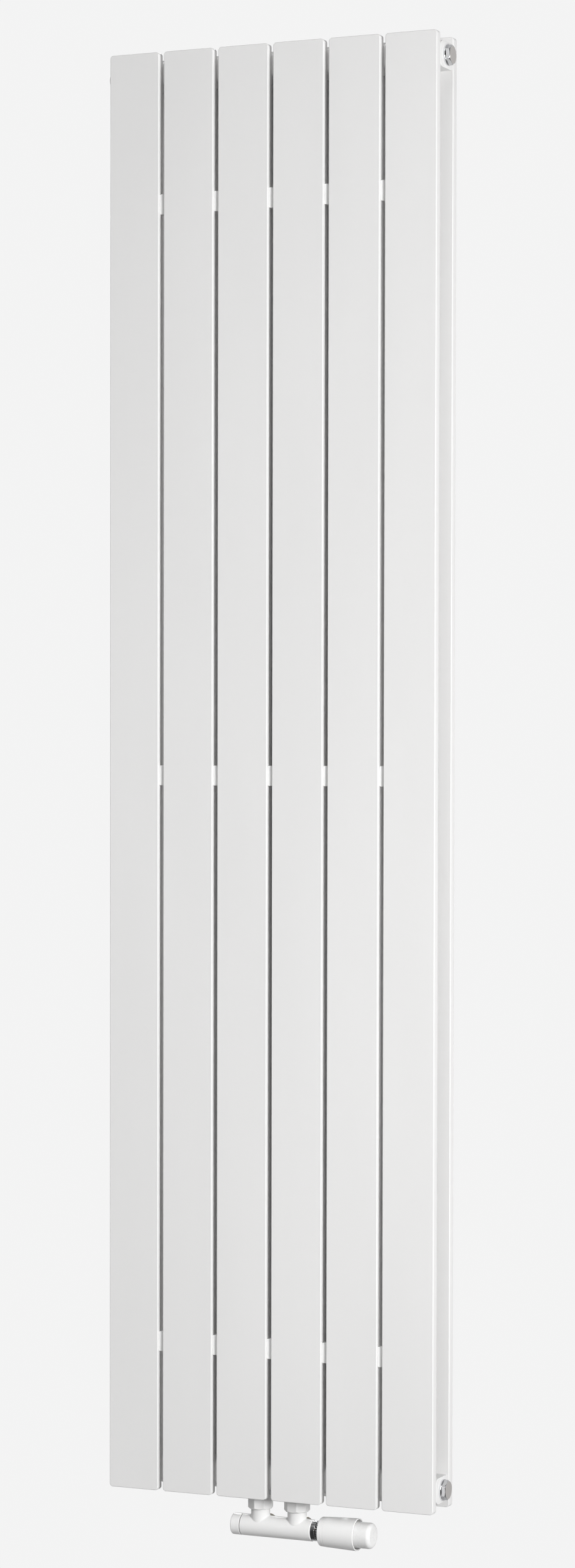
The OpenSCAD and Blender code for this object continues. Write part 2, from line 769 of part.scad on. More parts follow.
// Fixed chassis: flange under the nut, neck, disc and the barrel for the sensor
module head_base()
    color(white_plastic) at_valve() difference() {
        union() {
            ring_x(base_start, base_start + base_flange_t, base_flange_d);
            ring_x(base_start, base_disc_x, base_neck_d);
            ring_x(base_disc_x, base_end, base_d);
            ring_x(base_disc_x, base_disc_x + bearing_t, bearing_d);
            ring_x(bearing_2_x, bearing_2_x + bearing_t, bearing_d);
        }
        ring_x(base_start - 1, base_end, pusher_bore);
        ring_x(base_disc_x + base_disc_t, base_end + 1, base_d - 2 * base_wall);
        ring_x(clip_start, clip_start + clip_t, base_d + 1, base_d - 2 * clip_depth);
    }

module wheel_clip()
    color(spring_steel) at_valve() difference() {
        ring_x(clip_start, clip_start + clip_t, clip_d, base_d - 2 * clip_depth);
        translate([clip_start - 1, -clip_slot / 2, 0]) cube([clip_t + 2, clip_slot, clip_d]);
    }

module sensor_cartridge()
    color(brass) at_valve() turned_x([
        [sensor_start, 0], [sensor_start, sensor_d / 2 - 1], [sensor_start + 1, sensor_d / 2],
        [sensor_start + sensor_l - 1, sensor_d / 2], [sensor_start + sensor_l, sensor_d / 2 - 1],
        [sensor_start + sensor_l, 0]]);

module pusher()
    color(white_plastic) at_valve() ring_x(pusher_start, sensor_start, pusher_d);

module overtravel_spring()
    color(spring_steel) at_valve() coil_x(sensor_start + sensor_l, overtravel_l,
        overtravel_d - overtravel_wire, overtravel_wire, overtravel_turns);

// Handwheel sleeve: stepped shoulder, slightly flared barrel, thin open rim
module head_sleeve() {
    r1 = sleeve_d1 / 2;
    r2 = sleeve_d2 / 2;
    color(white_plastic) at_valve() turned_x([
        [sleeve_start, sleeve_hole / 2], [sleeve_start, r1 - shoulder_edge],
        [sleeve_start + shoulder_edge, r1],
        [sleeve_start + step_1, r1 + 0.1], [sleeve_start + step_1, r1 + step_rise / 2],
        [sleeve_start + step_2, r1 + step_rise / 2 + 0.1], [sleeve_start + step_2, r1 + step_rise],
        [sleeve_end - rim_edge, r2], [sleeve_end, r2 - rim_edge],
        [sleeve_end, r2 - sleeve_rim], [sleeve_end - rim_depth, r2 - sleeve_rim - rim_edge],
        [sleeve_end - rim_depth, sleeve_bore / 2], [sleeve_start + sleeve_plate, sleeve_bore / 2],
        [sleeve_start + sleeve_plate, sleeve_hole / 2 + hub_wall],
        [base_disc_x - free_gap, sleeve_hole / 2 + hub_wall], [base_disc_x - free_gap, sleeve_hole / 2]]);
}

// Round cap pushed into the sleeve; its closed face has a generous corner
module head_cap()
    color(white_plastic) at_valve() difference() {
        turned_x(concat([[cap_start_x, 0], [cap_start_x, dome_d / 2]],
            [for (a = [0 : 9 : 90])
                [cap_face - dome_r + dome_r * sin(a), dome_d / 2 - dome_r + dome_r * cos(a)]],
            [[cap_face, 0]]));
        ring_x(cap_start_x - 1, cap_face - dome_r, base_d + 2 * free_gap);
        ring_x(cap_start_x + cap_lip_t, cap_face - dome_r, dome_d - 2 * cap_wall);
    }

for (i = cols) {
    front_panel(i);
    rear_panel(i);
}
top_collector();
bottom_collector();
collector_bushes();
connection_nipples();
flow_baffle();
front_spacers();
rear_spacers();
blind_plugs();
plug_seals();
vent_plug();
vent_outlet_ring();
bleed_screw();
hanger_lugs();
wall_brackets();
bracket_liners();
valve_body();
union_tails();
union_gaskets();
flow_union_nut();
return_union_nut();
lockshield_cap();
lockshield_spindle();
lockshield_seal();
valve_insert();
insert_seal();
insert_collar();
valve_pin();
valve_disc();
pin_spring();
pin_seal();
head_nut();
head_base();
sensor_cartridge();
pusher();
overtravel_spring();
head_sleeve();
head_cap();
wheel_clip();
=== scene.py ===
"""Looks of the two-layer flat-tube radiator with its 50 mm valve block and thermostatic head."""

import json
from math import cos, pi, radians, sin, sqrt, tan

import bmesh
import bpy
import numpy as np
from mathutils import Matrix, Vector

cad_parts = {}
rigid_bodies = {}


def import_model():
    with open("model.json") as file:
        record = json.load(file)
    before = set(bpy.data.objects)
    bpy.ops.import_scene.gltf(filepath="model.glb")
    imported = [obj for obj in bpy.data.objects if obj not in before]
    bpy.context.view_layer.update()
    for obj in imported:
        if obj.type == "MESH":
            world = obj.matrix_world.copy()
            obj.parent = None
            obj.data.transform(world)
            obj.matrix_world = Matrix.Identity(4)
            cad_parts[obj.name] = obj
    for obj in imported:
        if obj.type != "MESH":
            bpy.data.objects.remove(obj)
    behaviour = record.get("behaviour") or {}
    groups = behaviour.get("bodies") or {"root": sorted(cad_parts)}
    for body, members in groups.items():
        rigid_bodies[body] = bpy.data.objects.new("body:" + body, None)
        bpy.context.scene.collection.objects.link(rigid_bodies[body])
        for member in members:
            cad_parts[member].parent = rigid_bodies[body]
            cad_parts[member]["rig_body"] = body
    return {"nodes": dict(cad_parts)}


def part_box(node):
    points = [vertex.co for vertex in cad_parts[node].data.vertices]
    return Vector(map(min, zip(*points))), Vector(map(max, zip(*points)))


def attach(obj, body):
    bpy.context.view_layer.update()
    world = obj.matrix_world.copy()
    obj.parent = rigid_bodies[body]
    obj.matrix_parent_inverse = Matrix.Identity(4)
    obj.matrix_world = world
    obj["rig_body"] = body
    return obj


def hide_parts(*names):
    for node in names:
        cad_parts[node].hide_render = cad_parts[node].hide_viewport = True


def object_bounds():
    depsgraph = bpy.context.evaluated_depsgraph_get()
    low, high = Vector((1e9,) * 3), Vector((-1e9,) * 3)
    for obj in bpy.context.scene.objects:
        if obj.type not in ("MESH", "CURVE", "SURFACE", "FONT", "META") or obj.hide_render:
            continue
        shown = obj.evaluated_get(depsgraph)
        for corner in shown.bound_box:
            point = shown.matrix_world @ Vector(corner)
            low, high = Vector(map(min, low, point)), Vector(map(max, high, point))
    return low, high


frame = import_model()
cad_box = [list(corner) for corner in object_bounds()]


# ---------- flat tubes ----------
# Twelve flat steel tubes in two layers, their pressed ends welded on and ground flush.
# The whole radiator is then powder-coated white: satin gloss with a very fine orange peel.

def outline(width, height, radius, steps=8):
    """Rounded rectangle about the origin: each corner is a quarter circle whose centre lies one radius
    inside both sides."""
    angle = np.arange(4)[:, None] * pi / 2 + np.linspace(0, pi / 2, steps + 1)
    across = np.array([[1], [-1], [-1], [1]]) * (width / 2 - radius)
    up = np.array([[1], [1], [-1], [-1]]) * (height / 2 - radius)
    return np.stack([across + radius * np.cos(angle), up + radius * np.sin(angle)], -1).reshape(-1, 2)


def skin(rings, loop=False):
    """Closed skin over rings of points: neighbouring rings are joined by four-sided faces, and the first
    and last ring are closed by flat faces, or joined to each other where the skin is a loop."""
    count, around = rings.shape[:2]
    index = np.arange(count * around).reshape(count, around)
    here = np.vstack([index, index[:1]]) if loop else index
    low, high = here[:-1], here[1:]
    quads = np.stack([low, np.roll(low, -1, 1), np.roll(high, -1, 1), high], -1).reshape(-1, 4)
    ends = [] if loop else [index[0, ::-1], index[-1]]
    return rings.reshape(-1, 3), quads, ends


def slab(low, high, corner, edge, along="y", steps=6):
    """Block between two corners: its outline is a rounded rectangle, and its other edges are rounded too.
    Each ring is the outline drawn in by edge (1 - sin a) at a depth of edge (1 - cos a)."""
    order = {"y": [0, 2, 1], "x": [1, 2, 0], "z": [0, 1, 2]}[along]
    low, high = np.array(low)[order], np.array(high)[order]
    width, height, depth = high - low
    angle = np.linspace(0, pi / 2, steps + 1)
    face_hold = 1.15
    least_corner = 0.2 * corner
    inset = np.r_[face_hold, 1 - np.sin(angle)] * edge
    sunk = np.r_[0, 1 - np.cos(angle)] * edge
    inset = np.r_[inset, inset[::-1]]
    sunk = np.r_[sunk, depth - sunk[::-1]]
    flat = [outline(width - 2 * d, height - 2 * d, max(corner - d, least_corner)) for d in inset]
    rings = np.concatenate([flat, np.broadcast_to(sunk[:, None, None], (len(sunk), len(flat[0]), 1))], -1)
    rings = rings + np.r_[(low[:2] + high[:2]) / 2, low[2]]
    return skin(rings[..., np.argsort(order)])


class Line:
    """A value in a shader: Python's signs between lines and numbers add Math nodes."""

    def __init__(self, nodes, socket):
        self.nodes, self.socket = nodes, socket

    def __add__(self, other):
        return self.nodes.add("ShaderNodeMath", {"operation": "ADD"}, {0: self, 1: other})

    def __sub__(self, other):
        return self.nodes.add("ShaderNodeMath", {"operation": "SUBTRACT"}, {0: self, 1: other})

    def __rsub__(self, other):
        return self.nodes.add("ShaderNodeMath", {"operation": "SUBTRACT"}, {0: other, 1: self})

    def __mul__(self, other):
        return self.nodes.add("ShaderNodeMath", {"operation": "MULTIPLY"}, {0: self, 1: other})

    __radd__ = __add__
    __rmul__ = __mul__


class Nodes:
    """A node tree that is written as Python: add() makes any node from its type, its settings and the
    values or lines of its sockets, and gives back one of its outputs as a line."""

    def __init__(self, tree):
        self.tree = tree

    def add(self, kind, settings=None, sockets=None, out=0):
        node = self.tree.nodes.new(kind)
        for name, value in (settings or {}).items():
            setattr(node, name, value)
        for name, value in (sockets or {}).items():
            self.put(node.inputs[name], value)
        return Line(self, node.outputs[out])

    def put(self, socket, value):
        if isinstance(value, Line):
            self.tree.links.new(value.socket, socket)
        else:
            socket.default_value = value


class Finish(Nodes):
    """A finish on the object's own coordinates, in metres."""

    def __init__(self, name, **values):
        self.material = bpy.data.materials.new(name)
        self.material.use_nodes = True
        super().__init__(self.material.node_tree)
        self.shader = self.tree.nodes["Principled BSDF"]
        self.place = self.add("ShaderNodeTexCoord", out="Object")
        self.set(**values)

    def set(self, **values):
        """Sets sockets of the shader: base_color=... is its Base Color, and so on."""
        for name, value in values.items():
            title = name.replace("_", " ").title().replace("Ior", "IOR")
            value = (*value, 1.0) if isinstance(value, tuple) else value
            self.put(self.shader.inputs[title], value)

    def noise(self, size, stretch=(1, 1, 1), detail=2.0):
        """Cloudy value from 0 to 1 whose spots are size metres across, stretched along each axis."""
        scale = tuple(1 / (size * s) for s in stretch)
        place = self.add("ShaderNodeMapping", None, {"Vector": self.place, "Scale": scale})
        return self.add("ShaderNodeTexNoise", None, {"Vector": place, "Scale": 1.0, "Detail": detail})

    def axis(self, letter):
        return self.add("ShaderNodeSeparateXYZ", None, {0: self.place}, out=letter)

    def step(self, value, start, end):
        """0 below start, 1 above end, and a straight rise between them."""
        return self.add("ShaderNodeMapRange", None, {"Value": value, "From Min": start, "From Max": end})

    def colours(self, mask, first, second):
        """Mix of two colours, or of a colour and a line."""
        pair = [(*c, 1.0) if isinstance(c, tuple) else c for c in (first, second)]
        return self.add("ShaderNodeMix", {"data_type": "RGBA"}, {0: mask, 6: pair[0], 7: pair[1]}, out=2)

    def relief(self, height, depth):
        """Bump of height 0 to 1 whose real depth is in metres."""
        return self.add("ShaderNodeBump", None, {"Strength": 1.0, "Distance": depth, "Height": height})


def powder_coat(name, light, shade, sheen):
    """White stoved powder: two near whites in soft clouds, and the fine peel that the powder melts into."""
    coat = Finish(name, specular_ior_level=0.27)
    cloud = coat.noise(0.16, (1, 1, 4))
    peel = coat.noise(0.0016) + coat.noise(0.0055) * 1.4
    sag = coat.noise(0.09, (1, 1, 3))
    peel_depth = 0.00003
    coat.set(base_color=coat.colours(coat.step(cloud, 0.35, 0.65), light, shade),
             roughness=sheen + 0.08 * coat.noise(0.03), normal=coat.relief(peel + 1.6 * sag, peel_depth))
    return coat


def piece(name, skins, finish, body, nodes=(), crease=35):
    """One object in its place from closed skins: smooth, with creases where faces meet more sharply than
    crease degrees. It rides on a body and stands for CAD nodes."""
    starts = np.cumsum([0] + [len(points) for points, _, _ in skins])
    faces = []
    for start, (_, quads, ends) in zip(starts, skins):
        faces += (quads + start).tolist() + [(end + start).tolist() for end in ends]
    mesh = bpy.data.meshes.new(name)
    mesh.from_pydata(np.vstack([points for points, _, _ in skins]).tolist(), [], faces)
    return placed(name, mesh, finish, body, nodes, crease)


def placed(name, mesh, finish, body, nodes, crease):
    """Object around a mesh whose faces are turned outwards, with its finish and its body."""
    shell = bmesh.new()
    shell.from_mesh(mesh)
    bmesh.ops.recalc_face_normals(shell, faces=shell.faces)
    shell.to_mesh(mesh)
    shell.free()
    mesh.shade_smooth()
    mesh.set_sharp_from_angle(angle=radians(crease))
    mesh.materials.clear()
    mesh.materials.append(finish.material)
    made = bpy.data.objects.new(name, mesh)
    bpy.context.scene.collection.objects.link(made)
    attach(made, body)
    if nodes:
        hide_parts(*nodes)
    return made


coat = powder_coat("white_powder_coat", (0.80, 0.797, 0.793), (0.778, 0.775, 0.771), 0.42)
tube_corner = 0.004
tube_edge = 0.001
tubes = 6
for layer in ("front", "rear"):
    for i in range(1, tubes + 1):
        node = f"{layer}_panel_{i}"
        piece(f"{layer}_flat_tube_{i}", [slab(*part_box(node), tube_corner, tube_edge)], coat, "radiator",
              [node])


# ---------- collectors ----------
# Two rectangular steel tubes between the layers, their corners bent to 8 mm. Their ends are closed by
# plates welded round a threaded bush and ground flush, so only a flat white end shows.

collector_corner = 0.008
collector_edge = 0.0006
for node, nodes in (("top_collector", ["top_collector", "collector_bushes"]),
                    ("bottom_collector", ["bottom_collector"])):
    piece(f"{node}_tube", [slab(*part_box(node), collector_corner, collector_edge, "x")], coat, "radiator",
          nodes)


# ---------- weld beads ----------
# Short beads in the grooves above and below each collector, where the flat tubes lie against it, and
# down both sides of each hanging lug. They are coated with the steel.

def bead(start, end, radius, ripple=0.0022, sides=8):
    """Weld bead from start to end: its radius swells from its ends as the fourth root of a parabola and
    rises and falls by an eighth once in each ripple length."""
    start, end = np.array(start), np.array(end)
    length = np.linalg.norm(end - start)
    rings_a_ripple, blunt = 5, 0.002
    t = np.linspace(0, 1, int(length / ripple * rings_a_ripple))[:, None]
    swell = (4 * t * (1 - t) + blunt) ** 0.25 * (1 + 0.125 * np.cos(2 * pi * t * length / ripple))
    ahead = (end - start) / length
    side = np.cross(ahead, [0, 1, 0])
    out = np.cross(side, ahead)
    angle = np.linspace(0, 2 * pi, sides, endpoint=False)
    round_it = np.cos(angle)[:, None] * side + np.sin(angle)[:, None] * out
    return skin((start + t * (end - start))[:, None] + radius * swell[..., None] * round_it)


bead_r = 0.0012
bead_share = 0.82
groove = 2 * sqrt(collector_corner * bead_r)
beads = []
for node in ("top_collector", "bottom_collector"):
    low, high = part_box(node)
    bead_rise = (high.z - low.z) / 2 - collector_corner + groove
    for layer, bead_y in (("front", low.y + bead_r), ("rear", high.y - bead_r)):
        for i in range(1, tubes + 1):
            left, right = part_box(f"{layer}_panel_{i}")
            centre, reach = (left.x + right.x) / 2, bead_share * (right.x - left.x) / 2
            for side in (-1, 1):
                bead_z = (low.z + high.z) / 2 + side * bead_rise
                beads.append(bead((centre - reach, bead_y, bead_z), (centre + reach, bead_y, bead_z), bead_r))
lugs_low, lugs_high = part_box("hanger_lugs")
lug_h = 0.040
lug_w = 0.038
lug_bead_inset = 0.006
lug_bead_r = 0.0014
for side in (-1, 1):
    for lug_bottom in (lugs_low.z, lugs_high.z - lug_h):
        lug_centre = side * (lugs_high.x - lug_w / 2)
        for edge in (-1, 1):
            bead_x = lug_centre + edge * lug_w / 2
            beads.append(bead((bead_x, lugs_low.y, lug_bottom + lug_bead_inset),
                              (bead_x, lugs_low.y, lug_bottom + lug_h - lug_bead_inset), lug_bead_r))
piece("weld_beads", beads, coat, "radiator")


# ---------- spacers ----------
# White moulded clips, three rows of five in each layer: a tongue fills the gap between two tubes and a
# plate bridges their backs. Satin plastic with a fine spark-eroded grain.

spacer_plastic = Finish("white_clip_plastic", specular_ior_level=0.45)
spacer_plastic.set(
    base_color=spacer_plastic.colours(spacer_plastic.noise(0.02), (0.86, 0.86, 0.855), (0.82, 0.82, 0.815)),
    roughness=0.34 + 0.1 * spacer_plastic.noise(0.004),
    normal=spacer_plastic.relief(spacer_plastic.noise(0.0006), 0.00002))
tongue_depth = 0.0085
clip_edge = 0.0006
clip_corner = 0.001
spacer_h = 0.025
spacer_rows = 3
for layer, facing in (("front", 1), ("rear", -1)):
    low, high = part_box(f"{layer}_spacers")
    face = low.y if facing > 0 else high.y
    shoulder = face + facing * tongue_depth
    heel = high.y if facing > 0 else low.y
    rows = np.linspace(low.z + spacer_h / 2, high.z - spacer_h / 2, spacer_rows)
    plate_w = 2 * (high.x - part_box(f"{layer}_panel_{tubes}")[0].x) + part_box("front_panel_2")[0].x \
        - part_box("front_panel_1")[1].x
    clips = []
    for i in range(1, tubes):
        left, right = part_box(f"{layer}_panel_{i}")[1].x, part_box(f"{layer}_panel_{i + 1}")[0].x
        middle = (left + right) / 2
        for z in rows:
            clips.append(slab((left, min(face, shoulder), z - spacer_h / 2),
                              (right, max(face, shoulder), z + spacer_h / 2), clip_corner, clip_edge))
            clips.append(slab((middle - plate_w / 2, min(heel, shoulder), z - spacer_h / 2),
                              (middle + plate_w / 2, max(heel, shoulder), z + spacer_h / 2),
                              clip_corner, clip_edge / 2))
    piece(f"{layer}_spacer_clips", clips, spacer_plastic, "radiator", [f"{layer}_spacers"])


# ---------- end plugs ----------
# Turned and milled brass plugs, chrome-plated: a thin flange on the collector's end and a hexagon with
# its corners turned off. The end face was faced after plating, so it is a matt brushed grey.

def soften(run, radii, steps=5):
    """Rounds the corners of profiles of [along, radius] points. At each corner an arc tangent to both
    straight runs replaces the corner, and a point just outside each end of the arc holds its run flat."""
    run = np.asarray(run, float)
    run = run[:, None] if run.ndim == 2 else run
    rows = [run[0]]
    for before, corner, after, radius in zip(run[:-2], run[1:-1], run[2:], radii):
        if radius == 0:
            rows.append(corner)
            continue
        back, on = before - corner, after - corner
        back_length = np.linalg.norm(back, axis=-1, keepdims=True)
        on_length = np.linalg.norm(on, axis=-1, keepdims=True)
        back, on = back / back_length, on / on_length
        half = np.arccos(np.clip((back * on).sum(-1, keepdims=True), -1, 1)) / 2
        reach = np.minimum(radius / np.tan(half), 0.4 * np.minimum(back_length, on_length))
        middle = back + on
        centre = corner + middle / np.linalg.norm(middle, axis=-1, keepdims=True) * reach / np.cos(half)
        first, last = corner + back * reach - centre, corner + on * reach - centre
        sweep = pi - 2 * half
        rows.append(corner + back * 1.2 * reach)
        for t in np.linspace(0, 1, steps + 1):
            rows.append(centre + (np.sin((1 - t) * sweep) * first + np.sin(t * sweep) * last) / np.sin(sweep))
        rows.append(corner + on * 1.2 * reach)
    rows.append(run[-1])
    width = max(len(row) for row in rows)
    return np.stack([np.broadcast_to(row, (width, 2)) for row in rows])


def spun(profile, centre, along="x", way=1, angles=None, loop=False, sides=96):
    """Carries profiles of [along, radius] points round an axis through centre: a point lies way x along
    up the axis, and its radius times the cosine and sine of the angle across it."""
    angles = np.linspace(0, 2 * pi, sides, endpoint=False) if angles is None else angles
    up = way * profile[..., 0] + 0 * angles
    one, two = profile[..., 1] * np.cos(angles), profile[..., 1] * np.sin(angles)
    order = {"x": [up, one, two], "y": [two, up, one], "z": [one, two, up]}[along]
    return skin(np.stack(order, -1) + np.array(centre), loop)


def many_sided(sides, flats, radius, turn=0.0):
    """Angles and radii of a regular polygon with rounded corners: every side is straight between the
    tangent points of corner arcs whose centres lie on the lines to the corners."""
    half = pi / sides
    inner = flats / 2 - radius
    flat = np.linspace(-1, 1, 9)[1:-1] * inner * tan(half)
    arc = np.linspace(0, 2 * half, 7)
    across = np.r_[np.full(len(flat), flats / 2), inner + radius * np.cos(arc)]
    along = np.r_[flat, inner * tan(half) + radius * np.sin(arc)]
    angle = np.arctan2(along, across) + np.arange(sides)[:, None] * 2 * half + turn
    return angle.ravel(), np.tile(np.hypot(across, along), sides)


def columns(*points):
    """Profiles side by side, one for each angle: each point is [along, radius], numbers or one for each."""
    width = max(np.size(value) for point in points for value in point)
    return np.stack([np.stack([np.broadcast_to(value, width) for value in point], -1) for point in points])


plug_flange_r = 0.013
plug_flange_t = 0.0025
plug_flats = 0.022
plug_end = 0.008
plug_chamfer = tan(radians(30))
plug_thread_r = 0.0100
plug_shown = 0.004
hex_corner = 0.0008
pin_hole = 0.0004
plug_top, plug_bottom = [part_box("blind_plugs")[k].z - s * plug_flange_r for k, s in ((1, 1), (0, -1))]
plug_y = (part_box("blind_plugs")[0].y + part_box("blind_plugs")[1].y) / 2
collector_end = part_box("top_collector")[1].x


def hex_plug(side, z, tail):
    """Flange, hexagon and what follows it. The turned-off corners drop from the end face by the radius
    past the flats times the chamfer's slope."""
    angle, hexagon = many_sided(6, plug_flats, hex_corner)
    face_r = plug_flats / 2 - 0.0004
    run = columns((-plug_shown, 0.0005), (-plug_shown, plug_thread_r), (0, plug_thread_r), (0, plug_flange_r),
                  (plug_flange_t, plug_flange_r), (plug_flange_t, hexagon),
                  (plug_end - (hexagon - face_r) * plug_chamfer, hexagon), (plug_end, face_r), *tail)
    radii = [0, 0, 0.0002, 0.0005, 0.0003, 0.0003, 0.0002] + [0.0003] * (len(tail) - 1)
    return spun(soften(run, radii, 3), (side * collector_end, plug_y, z), way=side, angles=angle)


def brushed_chrome(name, far_x):
    """Chrome whose faces past far_x from the middle are brushed matt."""
    steel = Finish(name, metallic=1.0)
    across = steel.axis("X")
    out = steel.add("ShaderNodeMath", {"operation": "ABSOLUTE"}, {0: across})
    faced = steel.step(out, far_x - 0.0001, far_x - 0.00003)
    scratch = steel.noise(0.0009, (1, 12, 0.25))
    steel.set(base_color=steel.colours(faced, (0.78, 0.785, 0.80), (0.78, 0.755, 0.735)),
              roughness=0.07 + 0.05 * steel.noise(0.006) + faced * (0.36 + 0.14 * scratch),
              normal=steel.relief(faced * scratch, 0.00002))
    return steel


plug_steel = brushed_chrome("plug_chrome", collector_end + plug_end)
blind_tail = [(plug_end, pin_hole)]
piece("end_plugs", [hex_plug(1, plug_top, blind_tail), hex_plug(1, plug_bottom, blind_tail),
                    hex_plug(-1, plug_bottom, blind_tail)],
      plug_steel, "radiator", ["blind_plugs"])

seal_rubber = Finish("black_rubber", specular_ior_level=0.3)
seal_rubber.set(
    base_color=seal_rubber.colours(seal_rubber.noise(0.003), (0.035, 0.035, 0.036), (0.06, 0.06, 0.06)),
    roughness=0.65 + 0.15 * seal_rubber.noise(0.0012),
    normal=seal_rubber.relief(seal_rubber.noise(0.0008), 0.00003))


# ---------- vent ----------
# Plug with a spigot at the upper left end. A white plastic outlet ring turns on the spigot, and a brass
# screw with a square socket closes it.

spigot_r = 0.006
spigot_end = 0.0131
screw_bore_r = 0.00405
screw_bore_end = 0.004
vent_tail = [(plug_end, spigot_r), (spigot_end, spigot_r), (spigot_end, screw_bore_r),
             (screw_bore_end, screw_bore_r), (screw_bore_end, pin_hole)]
piece("vent_body", [hex_plug(-1, plug_top, vent_tail)],
      plug_steel, "radiator", ["vent_plug"])


def eased_copy(node, width, finish, crease=30):
    """Copy of a CAD node with its doubles merged and flat faces joined, whose edges get a small bevel."""
    touching, flat_within = 0.000005, radians(1.0)
    mesh = frame["nodes"][node].data.copy()
    shell = bmesh.new()
    shell.from_mesh(mesh)
    bmesh.ops.remove_doubles(shell, verts=shell.verts, dist=touching)
    bmesh.ops.dissolve_limit(shell, angle_limit=flat_within, verts=shell.verts, edges=shell.edges)
    shell.to_mesh(mesh)
    shell.free()
    made = placed(f"{node}_eased", mesh, finish, frame["nodes"][node]["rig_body"], [node], crease)
    bevel = made.modifiers.new("eased edges", "BEVEL")
    bevel.width, bevel.segments, bevel.limit_method, bevel.angle_limit = width, 2, "ANGLE", radians(crease)
    return made


eased_copy("vent_outlet_ring", 0.0003, spacer_plastic)

turned_brass = Finish("turned_brass", metallic=1.0)
turned_brass.set(
    base_color=turned_brass.colours(turned_brass.noise(0.004), (0.80, 0.62, 0.30), (0.72, 0.55, 0.27)),
    roughness=0.2 + 0.12 * turned_brass.noise(0.0004, (1, 30, 30)),
    normal=turned_brass.relief(turned_brass.noise(0.0003, (1, 40, 40)), 0.00001))
eased_copy("bleed_screw", 0.0002, turned_brass)


# ---------- hanging lugs, wall brackets and their liners ----------
# Bent steel straps welded to the backs of the rear tubes hang over the upright tongues of four
# zinc-plated brackets, which are screwed to the wall. Dark plastic liners stop rattle between them.

eased_copy("hanger_lugs", 0.0008, coat)

zinc_plate = Finish("zinc_plate", metallic=1.0)
zinc_spot = zinc_plate.noise(0.012, detail=4.0)
zinc_plate.set(base_color=zinc_plate.colours(zinc_plate.step(zinc_spot, 0.35, 0.65), (0.66, 0.68, 0.70),
                                             (0.76, 0.77, 0.78)),
               roughness=0.42 + 0.16 * zinc_spot,
               normal=zinc_plate.relief(zinc_plate.noise(0.0015, (1, 8, 1)), 0.00002))
eased_copy("wall_brackets", 0.0006, zinc_plate)

liner_plastic = Finish("grey_liner_plastic", specular_ior_level=0.4)
liner_plastic.set(
    base_color=liner_plastic.colours(liner_plastic.noise(0.004), (0.10, 0.10, 0.105), (0.13, 0.13, 0.13)),
    roughness=0.5 + 0.12 * liner_plastic.noise(0.002),
    normal=liner_plastic.relief(liner_plastic.noise(0.0007), 0.00002))
eased_copy("bracket_liners", 0.0002, liner_plastic)


# ---------- valve body ----------
# One brass casting, enamelled gloss white: a barrel across, two upright branches for the union nuts and
# two bosses towards the wall, all run into each other with small cast fillets. The nickel-plated pipe
# threads are left bare.

enamel = Finish("valve_enamel", specular_ior_level=0.5)
outlet_thread = 0.012
boss_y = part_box("valve_body")[1].y - outlet_thread
bare = enamel.step(enamel.axis("Y"), boss_y + 0.0001, boss_y + 0.0004)
enamel_cloud = enamel.noise(0.02)
white = enamel.colours(enamel_cloud, (0.87, 0.868, 0.863), (0.85, 0.848, 0.843))
enamel.set(base_color=enamel.colours(bare, white, (0.70, 0.67, 0.60)), metallic=bare,
           roughness=0.16 + 0.06 * enamel_cloud + 0.12 * bare,
           normal=enamel.relief(enamel.noise(0.006) + 0.4 * enamel.noise(0.0015), 0.00005))

axis_y = (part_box("head_cap")[0].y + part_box("head_cap")[1].y) / 2
axis_z = (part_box("head_cap")[0].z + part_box("head_cap")[1].z) / 2
axis_at = (0, axis_y, axis_z)
barrel_r = 0.0135
barrel_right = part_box("insert_collar")[0].x
barrel_left = -0.0483
stub_left = -0.0563
stub_r = 0.010
stub_bore = 0.00755
stub_bore_end = -0.040
insert_bore = 0.0100
insert_depth = 0.006
branch_x = 0.025
branch_r = 0.012
branch_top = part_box("flow_union_nut")[0].z - 0.0004 - axis_z
fillet_r = 0.002
thread_r = 0.01045
thread_pitch = 0.001814
thread_depth = 0.00085
outlet_bore_r = 0.006


def saddle(rows, sides=96, steps=8):
    """Upright round branch that runs into the barrel with a rolling fillet. The ball's centre lies one
    branch radius and one fillet radius from the branch's axis, and one barrel radius and one fillet
    radius from the barrel's. It touches the branch level with itself, and the barrel on the line to its
    axis; the fillet is the arc between the two. rows are the [height, radius] points above it."""
    angle = np.linspace(0, 2 * pi, sides, endpoint=False)
    out = branch_r + fillet_r
    ball = np.stack([out * np.cos(angle), out * np.sin(angle),
                     np.sqrt((barrel_r + fillet_r) ** 2 - (out * np.sin(angle)) ** 2)], -1)
    to_branch = np.stack([-np.cos(angle), -np.sin(angle), 0 * angle], -1)
    to_barrel = -ball * [0, 1, 1] / (barrel_r + fillet_r)
    sweep = np.arccos((to_branch * to_barrel).sum(-1, keepdims=True))
    arc = [ball + fillet_r / np.sin(sweep) * (np.sin((1 - t) * sweep) * to_branch + np.sin(t * sweep) * to_barrel)
           for t in np.linspace(0, 1, steps + 1)]
    sunk = arc[-1] + to_barrel * 0.0003
    tops = [np.stack([radius * np.cos(angle), radius * np.sin(angle), 0 * angle + height], -1)
            for height, radius in np.broadcast_to(rows, (len(rows), sides, 2)).transpose(0, 2, 1)]
    return np.stack([*tops, *arc, sunk])


def thread(start, end, outer, depth, sides=96, rings=9):
    """Profiles of a screw thread: the radius falls from outer by depth in a rounded V whose phase is the
    length in pitches less the angle in turns, and the V fades out at both ends."""
    along = np.linspace(start, end, int(abs(end - start) / thread_pitch * rings))[:, None]
    turn = np.linspace(0, 1, sides, endpoint=False)
    wave = 0.5 - 0.5 * np.cos(2 * pi * (along / thread_pitch - turn))
    fade = np.clip(np.minimum(abs(along - start), abs(end - along)) / (0.6 * thread_pitch), 0, 1)
    return np.stack([along + 0 * turn, outer - depth * fade * wave ** 1.3], -1)


